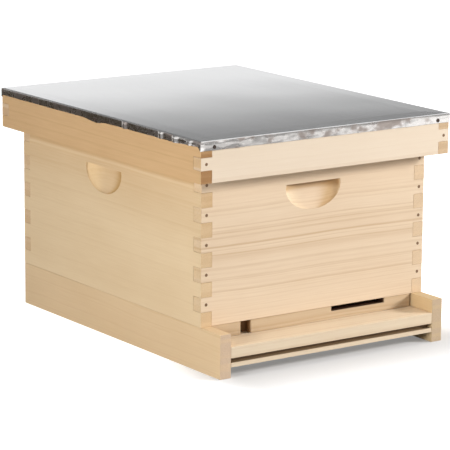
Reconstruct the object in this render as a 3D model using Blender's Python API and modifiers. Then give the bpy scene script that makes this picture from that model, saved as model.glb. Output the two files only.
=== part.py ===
"""A ten-frame Langstroth beehive: bottom board, deep hive body, frames, inner cover and metal-clad cover.

The hive stands on z = 0 with its entrance facing -Y, and x = 0 is the middle of its width.
Run it with: blender --background --python part.py
"""

import math

import bmesh
import bpy
from mathutils import Matrix, Vector

INCH = 0.0254
GAP = 0.0003  # clearance that touching pieces keep
MARGIN = 0.005  # how far a cutter runs past the face it opens

# Hive body: four boards box-jointed at the corners.
BODY_WIDTH = 16.25 * INCH
BODY_LENGTH = 19.875 * INCH
BODY_HEIGHT = 9.625 * INCH
BOARD = 0.75 * INCH
BODY_FINGERS = 11
REST_DEPTH = 0.625 * INCH  # rabbet that the frame lugs hang in
REST_WIDTH = 0.375 * INCH
HANDHOLD_WIDTH = 4.0 * INCH
HANDHOLD_BOWL = 1.375 * INCH  # from its widest line down to its lowest point
HANDHOLD_RISE = 0.25 * INCH  # from its widest line up to the finger ledge
HANDHOLD_DEPTH = 0.5 * INCH
HANDHOLD_DROP = 1.90625 * INCH  # from the top of the body to the finger ledge
END_HOLD_SHIFT = 0.1875 * INCH  # towards the left end of a front or back board, seen from outside
SIDE_HOLD_SHIFT = 0.5 * INCH  # the same on a side board

# Bottom board: two grooved rails, tongue-and-groove floor boards and rear cleats.
RAIL_HEIGHT = 2.625 * INCH
LANDING = 2.0 * INCH
ENTRANCE_HEIGHT = 0.8125 * INCH
FLOOR_THICKNESS = 1.1875 * INCH
DADO = 0.375 * INCH
DADO_STOP = 0.5 * INCH  # the rails' dadoes end this far behind the landing's edge
FLOOR_BOARDS = 4
GROOVE_HEIGHT = 0.28 * INCH
GROOVE_DEPTH = 0.375 * INCH
GROOVE_RISE = 0.25 * INCH  # lower lip of the groove

# Entrance reducer: a square bar with a wide notch and a narrow one on the next face.
REDUCER_SIDE = ENTRANCE_HEIGHT - GAP
REDUCER_LENGTH = 14.625 * INCH
REDUCER_RECESS = 0.0012
WIDE_NOTCH = 4.0 * INCH
WIDE_NOTCH_DEPTH = 0.3125 * INCH
WIDE_NOTCH_X = 3.3125 * INCH
NARROW_NOTCH = 0.75 * INCH
NARROW_NOTCH_DEPTH = 0.5625 * INCH
NARROW_NOTCH_X = -4.90625 * INCH

# Inner cover: a grooved rim around a thin panel with an oval hole.
INNER_THICKNESS = 0.75 * INCH
INNER_RIM = 1.75 * INCH
PANEL_THICKNESS = 0.25 * INCH
PANEL_GROOVE = 0.375 * INCH
OVAL_LENGTH = 3.5 * INCH
OVAL_WIDTH = 1.5 * INCH
VENT_WIDTH = 0.75 * INCH
VENT_DEPTH = 0.34 * INCH

# Telescoping outer cover: box-jointed rim, top panel and sheet metal cladding.
COVER_WIDTH = 17.9375 * INCH
COVER_LENGTH = 22.25 * INCH
COVER_HEIGHT = 2.4375 * INCH
COVER_FINGER = 0.75 * INCH
TOP_PANEL = 0.71875 * INCH
METAL = 0.0004
METAL_FLANGE = 0.5625 * INCH

# Nails that hold the metal's flange to the rim.
NAIL_HEAD_RADIUS = 0.0031
NAIL_HEAD_HEIGHT = 0.0009
NAIL_RADIUS = 0.0012
NAIL_LENGTH = 0.6875 * INCH
NAIL_TIP = 0.003
NAIL_SIDES = 12
NAIL_DROP = 0.39 * INCH  # below the top of the metal
NAIL_INSET = 0.875 * INCH  # from the end of a front or back flange

# Hanging frames.
FRAMES = 10
FRAME_SPACING = 1.375 * INCH + GAP
TOP_BAR_LENGTH = 19.0 * INCH
TOP_BAR_WIDTH = 1.0625 * INCH
TOP_BAR_HEIGHT = 0.75 * INCH
LUG_HEIGHT = 0.375 * INCH
FRAME_LENGTH = 17.625 * INCH
FRAME_HEIGHT = 9.125 * INCH
END_BAR = 0.375 * INCH
SHOULDER_WIDTH = 1.375 * INCH
SHOULDER_DROP = 3.0 * INCH
SHOULDER_TAPER = 0.5 * INCH
LEG_WIDTH = 1.125 * INCH
NECK_WIDTH = 0.875 * INCH
BOTTOM_BAR_WIDTH = 0.75 * INCH
BOTTOM_BAR_HEIGHT = 0.375 * INCH
KERF_WIDTH = 0.125 * INCH
KERF_DEPTH = 0.25 * INCH
BOTTOM_KERF_DEPTH = 0.125 * INCH
FOUNDATION_THICKNESS = 0.0018
FOUNDATION_SLACK = 0.0012

# Heights, from the ground up.
FLOOR_TOP = RAIL_HEIGHT - ENTRANCE_HEIGHT
FLOOR_BOTTOM = FLOOR_TOP - FLOOR_THICKNESS
BODY_BOTTOM = RAIL_HEIGHT + GAP
BODY_TOP = BODY_BOTTOM + BODY_HEIGHT
INNER_BOTTOM = BODY_TOP + GAP
INNER_TOP = INNER_BOTTOM + INNER_THICKNESS
TOP_PANEL_BOTTOM = INNER_TOP + GAP
COVER_TOP = TOP_PANEL_BOTTOM + TOP_PANEL
COVER_BOTTOM = COVER_TOP - COVER_HEIGHT
METAL_TOP = COVER_TOP + GAP + METAL
FRAME_TOP = BODY_TOP - REST_DEPTH + GAP + LUG_HEIGHT

# The body's centre stands behind y = 0, so that the whole hive is centred on the origin.
FRONT_REACH = BODY_LENGTH / 2 + LANDING
BACK_REACH = COVER_LENGTH / 2 + GAP + METAL + GAP + NAIL_HEAD_HEIGHT
CENTRE_Y = (FRONT_REACH - BACK_REACH) / 2
BODY_FRONT = CENTRE_Y - BODY_LENGTH / 2
BODY_BACK = CENTRE_Y + BODY_LENGTH / 2
LANDING_FRONT = BODY_FRONT - LANDING
COVER_FRONT = CENTRE_Y - COVER_LENGTH / 2
COVER_BACK = CENTRE_Y + COVER_LENGTH / 2


def clear_scene():
    for obj in list(bpy.data.objects):
        bpy.data.objects.remove(obj, do_unlink=True)


def new_collection(name):
    collection = bpy.data.collections.new(name)
    bpy.context.scene.collection.children.link(collection)
    return collection


def new_material(name, colour, roughness, metallic=0.0):
    material = bpy.data.materials.new(name)
    material.use_nodes = True
    shader = material.node_tree.nodes["Principled BSDF"]
    shader.inputs["Base Color"].default_value = (*colour, 1.0)
    shader.inputs["Roughness"].default_value = roughness
    shader.inputs["Metallic"].default_value = metallic
    return material


clear_scene()
PARTS = new_collection("beehive")
CUTTERS = new_collection("cutters")
PINE = new_material("pine_board", (0.72, 0.52, 0.32), 0.62)
FRAME_WOOD = new_material("frame_wood", (0.76, 0.58, 0.38), 0.65)
PLYWOOD = new_material("plywood_panel", (0.66, 0.48, 0.29), 0.7)
HARDBOARD = new_material("hardboard_panel", (0.36, 0.22, 0.12), 0.6)
SHEET_METAL = new_material("sheet_metal", (0.62, 0.63, 0.65), 0.28, 1.0)
NAIL_STEEL = new_material("nail_steel", (0.35, 0.33, 0.31), 0.45, 1.0)
BEESWAX = new_material("wax_foundation", (0.78, 0.57, 0.18), 0.55)


def add_object(name, mesh, material=None, helper=False):
    obj = bpy.data.objects.new(name, mesh)
    (CUTTERS if helper else PARTS).objects.link(obj)
    if helper:
        obj.hide_render = True
        obj.display_type = "WIRE"
    elif material is not None and not mesh.materials:
        mesh.materials.append(material)
    return obj


def box_mesh(name, corners):
    """One mesh of plain boxes, each given by its lowest and highest corner."""
    bm = bmesh.new()
    for low, high in corners:
        low, high = Vector(low), Vector(high)
        size = Matrix.Diagonal((*(high - low), 1.0))
        bmesh.ops.create_cube(bm, size=1.0, matrix=Matrix.Translation((low + high) / 2) @ size)
    mesh = bpy.data.meshes.new(name)
    bm.to_mesh(mesh)
    bm.free()
    return mesh


def box(name, low, high, material):
    return add_object(name, box_mesh(name, [(low, high)]), material)


def box_cutter(name, corners):
    return add_object(name, box_mesh(name, corners), helper=True)


def cut(obj, cutter, operation="DIFFERENCE"):
    boolean = obj.modifiers.new(operation.lower(), "BOOLEAN")
    boolean.operation = operation
    boolean.object = cutter
    return obj


def baked_mesh(obj, name):
    """The object's evaluated mesh as plain data, with the curve's caps welded to its sides."""
    bpy.context.view_layer.update()
    evaluated = obj.evaluated_get(bpy.context.evaluated_depsgraph_get())
    mesh = bpy.data.meshes.new_from_object(evaluated)
    mesh.name = name
    bm = bmesh.new()
    bm.from_mesh(mesh)
    bmesh.ops.remove_doubles(bm, verts=bm.verts, dist=1e-6)
    bm.to_mesh(mesh)
    bm.free()
    return mesh


# How a flat outline's own x, y and thickness lie in the hive.
ACROSS = Matrix(((0, 0, 1), (1, 0, 0), (0, 1, 0))).to_4x4()  # outline in Y and Z, thickness along X
ALONG = Matrix(((1, 0, 0), (0, 0, -1), (0, 1, 0))).to_4x4()  # outline in X and Z, thickness along Y
FLAT = Matrix.Identity(4)  # outline in X and Y, thickness along Z


def plate_mesh(name, outlines, thickness, plane):
    """A flat outline, with any further outlines as holes in it, made solid about its middle."""
    curve = bpy.data.curves.new(name, "CURVE")
    curve.dimensions = "2D"
    curve.fill_mode = "BOTH"
    curve.extrude = thickness / 2
    for outline in outlines:
        spline = curve.splines.new("POLY")
        spline.points.add(len(outline) - 1)
        for point, (u, v) in zip(spline.points, outline):
            point.co = (u, v, 0.0, 1.0)
        spline.use_cyclic_u = True
    guide = add_object(name + "_outline", curve, helper=True)
    mesh = baked_mesh(guide, name)
    mesh.transform(plane)
    bpy.data.objects.remove(guide)
    return mesh


def plate(name, outlines, thickness, plane, centre, material):
    obj = add_object(name, plate_mesh(name, outlines, thickness, plane), material)
    obj.location = centre
    return obj


def rectangle(u0, v0, u1, v1):
    return [(u0, v0), (u1, v0), (u1, v1), (u0, v1)]


def stadium(length, width, steps=12):
    """A slot with round ends, centred on the origin and long in its first coordinate."""
    radius, reach = width / 2, (length - width) / 2
    points = []
    for side in (1, -1):
        for i in range(steps + 1):
            angle = side * math.pi / 2 - i * side * math.pi / steps * side
            points.append((side * reach + radius * math.cos(angle), radius * math.sin(angle)))
    return points


def finger_levels(bottom, heights):
    """The (bottom, top) of each finger of a box joint, from the lowest up."""
    levels = [bottom]
    for height in heights:
        levels.append(levels[-1] + height)
    return list(zip(levels[:-1], levels[1:]))


def slot_span(levels, index):
    """The height of the slot that takes the neighbour's finger, open past the board's edge."""
    low, high = levels[index]
    low = low - MARGIN if index == 0 else low - GAP / 2
    high = high + MARGIN if index == len(levels) - 1 else high + GAP / 2
    return low, high


def end_slots(name, width, y_low, y_high, levels):
    """Cutter for the slots in both ends of a front or back board."""
    corners = []
    for index in range(0, len(levels), 2):
        low, high = slot_span(levels, index)
        for side in (-1, 1):
            xs = sorted((side * (width / 2 - BOARD - GAP), side * (width / 2 + MARGIN)))
            corners.append(((xs[0], y_low - MARGIN, low), (xs[1], y_high + MARGIN, high)))
    return box_cutter(name, corners)


def side_slots(name, x_low, x_high, y_front, y_back, levels):
    """Cutter for the slots in both ends of a side board."""
    corners = []
    for index in range(1, len(levels), 2):
        low, high = slot_span(levels, index)
        for y_low, y_high in (
            (y_front - MARGIN, y_front + BOARD + GAP),
            (y_back - BOARD - GAP, y_back + MARGIN),
        ):
            corners.append(((x_low - MARGIN, y_low, low), (x_high + MARGIN, y_high, high)))
    return box_cutter(name, corners)


def jointed_box(prefix, width, y_front, y_back, bottom, top, levels):
    """Front, back, left and right boards of a box-jointed frame of boards, by name."""
    boards = {}
    for name, y_low in (("front", y_front), ("back", y_back - BOARD)):
        board = box(
            f"{prefix}_{name}",
            (-width / 2, y_low, bottom),
            (width / 2, y_low + BOARD, top),
            PINE,
        )
        cut(board, end_slots(f"{prefix}_{name}_slots", width, y_low, y_low + BOARD, levels))
        boards[name] = board
    for name, x_low in (("left", -width / 2), ("right", width / 2 - BOARD)):
        board = box(
            f"{prefix}_{name}",
            (x_low, y_front, bottom),
            (x_low + BOARD, y_back, top),
            PINE,
        )
        slots = side_slots(f"{prefix}_{name}_slots", x_low, x_low + BOARD, y_front, y_back, levels)
        boards[name] = cut(board, slots)
    return boards


def handhold_cutter(name, centre, outward):
    """An ellipsoid with its top cut off, for a hold with a straight ledge above and a scoop below."""
    bm = bmesh.new()
    bmesh.ops.create_uvsphere(bm, u_segments=28, v_segments=14, radius=1.0)
    bmesh.ops.bisect_plane(
        bm, geom=bm.verts[:] + bm.edges[:] + bm.faces[:], plane_co=(0, 0, HANDHOLD_RISE / HANDHOLD_BOWL),
        plane_no=(0, 0, 1), clear_outer=True,
    )
    rim = [edge for edge in bm.edges if edge.is_boundary]
    bmesh.ops.edgeloop_fill(bm, edges=rim)
    bmesh.ops.recalc_face_normals(bm, faces=bm.faces)
    turn = Matrix.Rotation(math.atan2(outward[0], -outward[1]), 4, "Z")
    size = Matrix.Diagonal((HANDHOLD_WIDTH / 2, HANDHOLD_DEPTH, HANDHOLD_BOWL, 1.0))
    bmesh.ops.transform(bm, matrix=turn @ size, verts=bm.verts)
    mesh = bpy.data.meshes.new(name)
    bm.to_mesh(mesh)
    bm.free()
    cutter = add_object(name, mesh, helper=True)
    cutter.location = centre
    return cutter


def make_hive_body():
    finger = BODY_HEIGHT / BODY_FINGERS
    levels = finger_levels(BODY_BOTTOM, [finger] * BODY_FINGERS)
    boards = jointed_box("body", BODY_WIDTH, BODY_FRONT, BODY_BACK, BODY_BOTTOM, BODY_TOP, levels)
    rests = {
        "front": (BODY_FRONT + BOARD - REST_WIDTH, BODY_FRONT + BOARD + MARGIN),
        "back": (BODY_BACK - BOARD - MARGIN, BODY_BACK - BOARD + REST_WIDTH),
    }
    for name, (y_low, y_high) in rests.items():
        low = (-BODY_WIDTH / 2, y_low, BODY_TOP - REST_DEPTH)
        high = (BODY_WIDTH / 2, y_high, BODY_TOP + MARGIN)
        cut(boards[name], box_cutter(f"frame_rest_{name}", [(low, high)]))
    widest = BODY_TOP - HANDHOLD_DROP - HANDHOLD_RISE
    holds = {
        "front": ((-END_HOLD_SHIFT, BODY_FRONT, widest), (0, -1, 0)),
        "back": ((END_HOLD_SHIFT, BODY_BACK, widest), (0, 1, 0)),
        "left": ((-BODY_WIDTH / 2, CENTRE_Y + SIDE_HOLD_SHIFT, widest), (-1, 0, 0)),
        "right": ((BODY_WIDTH / 2, CENTRE_Y - SIDE_HOLD_SHIFT, widest), (1, 0, 0)),
    }
    proud = 0.0007  # the scoop's middle stands just outside the face, so its rim crosses it cleanly
    for name, (centre, outward) in holds.items():
        centre = Vector(centre) + proud * Vector(outward)
        cut(boards[name], handhold_cutter(f"handhold_{name}", centre, outward))


def make_rail(name, side):
    """A side rail whose inner face has a stopped dado for the ends of the floor boards."""
    outer = side * BODY_WIDTH / 2
    inner = side * (BODY_WIDTH / 2 - BOARD)
    low, high = sorted((outer, inner))
    rail = box(name, (low, LANDING_FRONT, 0.0), (high, BODY_BACK, RAIL_HEIGHT), PINE)
    low, high = sorted((inner - side * MARGIN, inner + side * DADO))
    front = LANDING_FRONT + DADO_STOP
    dado = (
        (low, front, FLOOR_BOTTOM - GAP),
        (high, BODY_BACK + MARGIN, FLOOR_TOP + GAP),
    )
    cut(rail, box_cutter(f"{name}_dado", [dado]))


def floor_board_outline(front, back, tongued):
    """End view of a floor board, in Y and Z, grooved in front and tongued behind."""
    groove_low = FLOOR_BOTTOM + GROOVE_RISE
    groove_high = groove_low + GROOVE_HEIGHT
    outline = [
        (front, FLOOR_BOTTOM),
        (back, FLOOR_BOTTOM),
        (back, FLOOR_TOP),
        (front, FLOOR_TOP),
        (front, groove_high),
        (front + GROOVE_DEPTH, groove_high),
        (front + GROOVE_DEPTH, groove_low),
        (front, groove_low),
    ]
    if tongued:
        reach = back + GAP + GROOVE_DEPTH - 4 * GAP
        outline[2:2] = [
            (back, groove_low + GAP),
            (reach, groove_low + GAP),
            (reach, groove_high - GAP),
            (back, groove_high - GAP),
        ]
    return outline


def floor_corners(name, half):
    """Boxes at the landing's two corners, as far back as the rails have no dado."""
    side = BODY_WIDTH / 2 - BOARD - GAP
    back = LANDING_FRONT + DADO_STOP + GAP
    corners = []
    for low, high in ((-half - MARGIN, -side), (side, half + MARGIN)):
        corners.append((
            (low, LANDING_FRONT - MARGIN, FLOOR_BOTTOM - MARGIN),
            (high, back, FLOOR_TOP + MARGIN),
        ))
    return box_cutter(name, corners)


def make_floor():
    """Floor boards let into the dadoes. The first one's corners are notched around the dadoes' ends."""
    half = BODY_WIDTH / 2 - BOARD + DADO - GAP
    pitch = (BODY_BACK - LANDING_FRONT + GAP) / FLOOR_BOARDS
    for index in range(FLOOR_BOARDS):
        front = LANDING_FRONT + index * pitch
        outline = floor_board_outline(front, front + pitch - GAP, index < FLOOR_BOARDS - 1)
        board = plate(f"floor_board_{index + 1}", [outline], 2 * half, ACROSS, (0, 0, 0), PINE)
        if index == 0:
            cut(board, floor_corners("landing_corners", half))


def make_bottom_board():
    make_rail("rail_left", -1)
    make_rail("rail_right", 1)
    make_floor()
    inner = BODY_WIDTH / 2 - BOARD - GAP
    for name, low, high in (
        ("rear_cleat_upper", FLOOR_TOP + GAP, RAIL_HEIGHT),
        ("rear_cleat_lower", 0.0, FLOOR_BOTTOM - GAP),
    ):
        box(name, (-inner, BODY_BACK - BOARD, low), (inner, BODY_BACK, high), PINE)


def make_reducer():
    left = -BODY_WIDTH / 2 + BOARD + 2 * GAP
    front = BODY_FRONT + REDUCER_RECESS
    bottom = FLOOR_TOP + GAP
    top = bottom + REDUCER_SIDE
    low = (left, front, bottom)
    high = (left + REDUCER_LENGTH, front + REDUCER_SIDE, top)
    bar = box("entrance_reducer", low, high, PINE)
    wide = (
        (WIDE_NOTCH_X - WIDE_NOTCH / 2, front - MARGIN, top - WIDE_NOTCH_DEPTH),
        (WIDE_NOTCH_X + WIDE_NOTCH / 2, front + REDUCER_SIDE + MARGIN, top + MARGIN),
    )
    narrow = (
        (NARROW_NOTCH_X - NARROW_NOTCH / 2, front - MARGIN, bottom - MARGIN),
        (NARROW_NOTCH_X + NARROW_NOTCH / 2, front + NARROW_NOTCH_DEPTH, top + MARGIN),
    )
    cut(bar, box_cutter("reducer_notches", [wide, narrow]))


def inner_rim_outline(inward):
    """End view of an inner cover rim about its outer edge, grooved for the panel."""
    middle = INNER_THICKNESS / 2
    low, high = middle - PANEL_THICKNESS / 2 - GAP, middle + PANEL_THICKNESS / 2 + GAP
    outline = [
        (0.0, 0.0),
        (INNER_RIM, 0.0),
        (INNER_RIM, low),
        (INNER_RIM - PANEL_GROOVE, low),
        (INNER_RIM - PANEL_GROOVE, high),
        (INNER_RIM, high),
        (INNER_RIM, INNER_THICKNESS),
        (0.0, INNER_THICKNESS),
    ]
    return outline if inward > 0 else [(-u, v) for u, v in reversed(outline)]


def make_inner_cover():
    for name, edge, inward in (("front", BODY_FRONT, 1), ("back", BODY_BACK, -1)):
        rim = plate(
            f"inner_rim_{name}", [inner_rim_outline(inward)], BODY_WIDTH, ACROSS,
            (0, edge, INNER_BOTTOM), PINE,
        )
        if name == "front":
            low = (-VENT_WIDTH / 2, BODY_FRONT - MARGIN, INNER_TOP - VENT_DEPTH)
            high = (VENT_WIDTH / 2, BODY_FRONT + INNER_RIM + MARGIN, INNER_TOP + MARGIN)
            cut(rim, box_cutter("inner_vent", [(low, high)]))
    span = BODY_LENGTH - 2 * INNER_RIM - 2 * GAP
    for name, side in (("left", -1), ("right", 1)):
        centre = (side * BODY_WIDTH / 2, CENTRE_Y, INNER_BOTTOM)
        plate(f"inner_rim_{name}", [inner_rim_outline(-side)], span, ALONG, centre, PINE)
    reach = INNER_RIM - PANEL_GROOVE + GAP
    half_width, half_length = BODY_WIDTH / 2 - reach, BODY_LENGTH / 2 - reach
    plate(
        "inner_panel",
        [rectangle(-half_width, -half_length, half_width, half_length), stadium(OVAL_LENGTH, OVAL_WIDTH)],
        PANEL_THICKNESS, FLAT, (0, CENTRE_Y, INNER_BOTTOM + INNER_THICKNESS / 2), HARDBOARD,
    )


def nail_profile(radius_slack=0.0):
    """Half section of a nail from its head down, with the underside of the head at z = 0."""
    shank, tip = NAIL_RADIUS + radius_slack, -NAIL_LENGTH - radius_slack
    return [
        (0.0, NAIL_HEAD_HEIGHT),
        (NAIL_HEAD_RADIUS * 0.8, NAIL_HEAD_HEIGHT),
        (NAIL_HEAD_RADIUS, NAIL_HEAD_HEIGHT * 0.6),
        (NAIL_HEAD_RADIUS, 0.0),
        (shank, 0.0),
        (shank, tip + NAIL_TIP),
        (0.0, tip),
    ]


def turned(name, profile, sides):
    """A profile of (radius, height) points turned about Z by a Screw modifier, as a mesh."""
    mesh = bpy.data.meshes.new(name + "_profile")
    points = [(radius, 0.0, height) for radius, height in profile]
    mesh.from_pydata(points, [(i, i + 1) for i in range(len(points) - 1)], [])
    guide = add_object(name + "_profile", mesh, helper=True)
    screw = guide.modifiers.new("turn", "SCREW")
    screw.axis = "Z"
    screw.steps = screw.render_steps = sides
    screw.use_merge_vertices = True
    screw.merge_threshold = 0.00001
    solid = baked_mesh(guide, name)
    bpy.data.objects.remove(guide)
    return solid


def nail_places():
    """Each flange nail's name, the point under its head, and the way it points out."""
    height = METAL_TOP - NAIL_DROP
    skin = GAP + METAL
    reach = COVER_WIDTH / 2 - NAIL_INSET
    front, back = COVER_FRONT - skin, COVER_BACK + skin
    side = COVER_WIDTH / 2 + skin
    return [
        ("front_left", (-reach, front, height), (0, -1, 0)),
        ("front_right", (reach, front, height), (0, -1, 0)),
        ("back_left", (-reach, back, height), (0, 1, 0)),
        ("back_right", (reach, back, height), (0, 1, 0)),
        ("left", (-side, CENTRE_Y, height), (-1, 0, 0)),
        ("right", (side, CENTRE_Y, height), (1, 0, 0)),
    ]


def make_outer_cover():
    heights = [COVER_FINGER, COVER_FINGER, COVER_HEIGHT - 2 * COVER_FINGER]
    levels = finger_levels(COVER_BOTTOM, heights)
    rims = jointed_box(
        "cover_rim", COVER_WIDTH, COVER_FRONT, COVER_BACK, COVER_BOTTOM, COVER_TOP, levels
    )
    inner_x = COVER_WIDTH / 2 - BOARD - GAP
    inner_y = COVER_LENGTH / 2 - BOARD - GAP
    box(
        "cover_panel",
        (-inner_x, CENTRE_Y - inner_y, TOP_PANEL_BOTTOM),
        (inner_x, CENTRE_Y + inner_y, COVER_TOP),
        PLYWOOD,
    )
    metal = make_metal()
    head_mesh = turned("cover_nail", nail_profile(), NAIL_SIDES)
    hole_mesh = turned("nail_hole", nail_profile(GAP), NAIL_SIDES)
    for name, place, outward in nail_places():
        turn = Vector((0, 0, 1)).rotation_difference(Vector(outward))
        nail = add_object(f"cover_nail_{name}", head_mesh, NAIL_STEEL)
        hole = add_object(f"nail_hole_{name}", hole_mesh, helper=True)
        for obj, lift in ((nail, GAP), (hole, 0.0)):
            obj.rotation_mode = "QUATERNION"
            obj.rotation_quaternion = turn
            obj.location = Vector(place) + lift * Vector(outward)
        for piece in (rims[name.split("_")[0]], metal):
            cut(piece, hole)


def make_metal():
    """Sheet metal tray that wraps the cover's top and turns down over the rim."""
    half_x, half_y = COVER_WIDTH / 2 + GAP, COVER_LENGTH / 2 + GAP
    low = (-half_x, CENTRE_Y - half_y, METAL_TOP - METAL_FLANGE)
    high = (half_x, CENTRE_Y + half_y, COVER_TOP + GAP)
    mesh = box_mesh("cover_metal", [(low, high)])
    bm = bmesh.new()
    bm.from_mesh(mesh)
    bm.faces.ensure_lookup_table()
    underside = min(bm.faces, key=lambda face: face.calc_center_median().z)
    bmesh.ops.delete(bm, geom=[underside], context="FACES_ONLY")
    bm.to_mesh(mesh)
    bm.free()
    metal = add_object("cover_metal", mesh, SHEET_METAL)
    shell = metal.modifiers.new("sheet", "SOLIDIFY")
    shell.thickness = METAL
    shell.offset = 1.0
    shell.use_even_offset = True
    return metal


def top_bar_mesh():
    """Top bar about the middle of its upper face, with lugs, necks and a kerf for the foundation."""
    reach, inner = TOP_BAR_LENGTH / 2, FRAME_LENGTH / 2
    outline = [
        (-reach, 0.0),
        (-reach, -LUG_HEIGHT),
        (-inner, -LUG_HEIGHT),
        (-inner, -TOP_BAR_HEIGHT),
        (inner, -TOP_BAR_HEIGHT),
        (inner, -LUG_HEIGHT),
        (reach, -LUG_HEIGHT),
        (reach, 0.0),
    ]
    blank = add_object("top_bar_blank", plate_mesh("top_bar", [outline], TOP_BAR_WIDTH, ACROSS), helper=True)
    corners = []
    for end in (-1, 1):
        ys = sorted((end * (inner - END_BAR - GAP), end * (inner + GAP)))
        for side in (-1, 1):
            xs = sorted((side * NECK_WIDTH / 2, side * (TOP_BAR_WIDTH / 2 + MARGIN)))
            corners.append(((xs[0], ys[0], -TOP_BAR_HEIGHT - MARGIN), (xs[1], ys[1], MARGIN)))
    kerf_end = inner - END_BAR - GAP
    corners.append((
        (-KERF_WIDTH / 2, -kerf_end, -TOP_BAR_HEIGHT - MARGIN),
        (KERF_WIDTH / 2, kerf_end, -TOP_BAR_HEIGHT + KERF_DEPTH),
    ))
    cut(blank, box_cutter("top_bar_cuts", corners))
    return baked_mesh(blank, "top_bar")


def end_bar_outline():
    """An end bar's face in X and Z: forked round the top bar's neck, with spacing shoulders."""
    shoulder, leg = SHOULDER_WIDTH / 2, LEG_WIDTH / 2
    fork = NECK_WIDTH / 2 + GAP
    seat = -TOP_BAR_HEIGHT - GAP
    right = [
        (fork, seat),
        (fork, 0.0),
        (shoulder, 0.0),
        (shoulder, -SHOULDER_DROP),
        (leg, -SHOULDER_DROP - SHOULDER_TAPER),
        (leg, -FRAME_HEIGHT),
    ]
    return [(-x, z) for x, z in reversed(right)] + right


def side_and_bottom_mesh():
    """Both end bars and the bottom bar glued into one, about the middle of the top bar's upper face."""
    offset = (FRAME_LENGTH - END_BAR) / 2
    ends = []
    for end in (-1, 1):
        mesh = plate_mesh("end_bar", [end_bar_outline()], END_BAR, ALONG)
        mesh.transform(Matrix.Translation((0, end * offset, 0)))
        ends.append(add_object(f"end_bar_{'front' if end < 0 else 'back'}", mesh, helper=True))
    half = BOTTOM_BAR_WIDTH / 2
    bar = add_object(
        "bottom_bar_blank",
        box_mesh("bottom_bar", [(
            (-half, -offset, -FRAME_HEIGHT + GAP),
            (half, offset, -FRAME_HEIGHT + BOTTOM_BAR_HEIGHT),
        )]),
        helper=True,
    )
    for end in ends:
        cut(bar, end, "UNION")
    inner = FRAME_LENGTH / 2 - END_BAR
    kerf = (
        (-KERF_WIDTH / 2, -inner, -FRAME_HEIGHT + BOTTOM_BAR_HEIGHT - BOTTOM_KERF_DEPTH),
        (KERF_WIDTH / 2, inner, -FRAME_HEIGHT + BOTTOM_BAR_HEIGHT + MARGIN),
    )
    cut(bar, box_cutter("bottom_kerf", [kerf]))
    return baked_mesh(bar, "side_and_bottom")


def foundation_mesh():
    """Thin comb sheet whose upper and lower edges stand in the kerfs."""
    half = FRAME_LENGTH / 2 - END_BAR - FOUNDATION_SLACK
    top = -TOP_BAR_HEIGHT + KERF_DEPTH - FOUNDATION_SLACK
    bottom = -FRAME_HEIGHT + BOTTOM_BAR_HEIGHT - BOTTOM_KERF_DEPTH + GAP
    thin = FOUNDATION_THICKNESS / 2
    return box_mesh("foundation", [((-thin, -half, bottom), (thin, half, top))])


def make_frames():
    pieces = (
        ("top_bar", top_bar_mesh(), FRAME_WOOD),
        ("sides", side_and_bottom_mesh(), FRAME_WOOD),
        ("foundation", foundation_mesh(), BEESWAX),
    )
    for index in range(FRAMES):
        x = (index - (FRAMES - 1) / 2) * FRAME_SPACING
        carrier = bpy.data.objects.new(f"frame_{index + 1:02d}", None)
        PARTS.objects.link(carrier)
        carrier.location = (x, CENTRE_Y, FRAME_TOP)
        for piece, mesh, material in pieces:
            obj = add_object(f"frame_{index + 1:02d}_{piece}", mesh, material)
            obj.parent = carrier


make_bottom_board()
make_reducer()
make_hive_body()
make_frames()
make_inner_cover()
make_outer_cover()
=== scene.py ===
"""The beehive's looks: bare pine with its grain, end grain and knots, a crinkled metal lid, nails and wax."""

import math

import bmesh
import bpy
from mathutils import Matrix, Vector, noise


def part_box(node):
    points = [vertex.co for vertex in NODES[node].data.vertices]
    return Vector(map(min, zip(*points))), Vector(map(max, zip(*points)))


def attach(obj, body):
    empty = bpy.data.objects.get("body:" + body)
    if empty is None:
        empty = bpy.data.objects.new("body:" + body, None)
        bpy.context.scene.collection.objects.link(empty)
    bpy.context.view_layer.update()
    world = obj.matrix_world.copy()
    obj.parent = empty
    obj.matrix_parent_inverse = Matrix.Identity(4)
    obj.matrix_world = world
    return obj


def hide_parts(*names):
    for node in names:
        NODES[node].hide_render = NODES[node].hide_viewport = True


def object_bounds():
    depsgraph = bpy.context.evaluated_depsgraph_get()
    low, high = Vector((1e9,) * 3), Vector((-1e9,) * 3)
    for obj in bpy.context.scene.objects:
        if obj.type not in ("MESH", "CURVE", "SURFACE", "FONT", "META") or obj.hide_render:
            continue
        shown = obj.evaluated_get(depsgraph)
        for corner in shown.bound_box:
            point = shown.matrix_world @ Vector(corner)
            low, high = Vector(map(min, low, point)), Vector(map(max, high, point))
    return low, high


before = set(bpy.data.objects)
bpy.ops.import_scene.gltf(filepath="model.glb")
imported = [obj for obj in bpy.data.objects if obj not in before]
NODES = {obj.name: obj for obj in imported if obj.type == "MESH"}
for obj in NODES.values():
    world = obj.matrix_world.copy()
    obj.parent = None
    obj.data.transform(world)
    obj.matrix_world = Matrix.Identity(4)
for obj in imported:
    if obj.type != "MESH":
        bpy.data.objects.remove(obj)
CAD_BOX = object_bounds()

X, Y, Z = 0, 1, 2
MM = 0.001


def middle(node):
    low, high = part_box(node)
    return (low + high) / 2


def linear(*srgb):
    """An sRGB colour given as 0 to 255, in the linear values that shaders use."""
    return tuple(((c / 255 + 0.055) / 1.055) ** 2.4 if c > 10 else c / 255 / 12.92 for c in srgb)


# ---------------------------------------------------------------- materials


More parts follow.
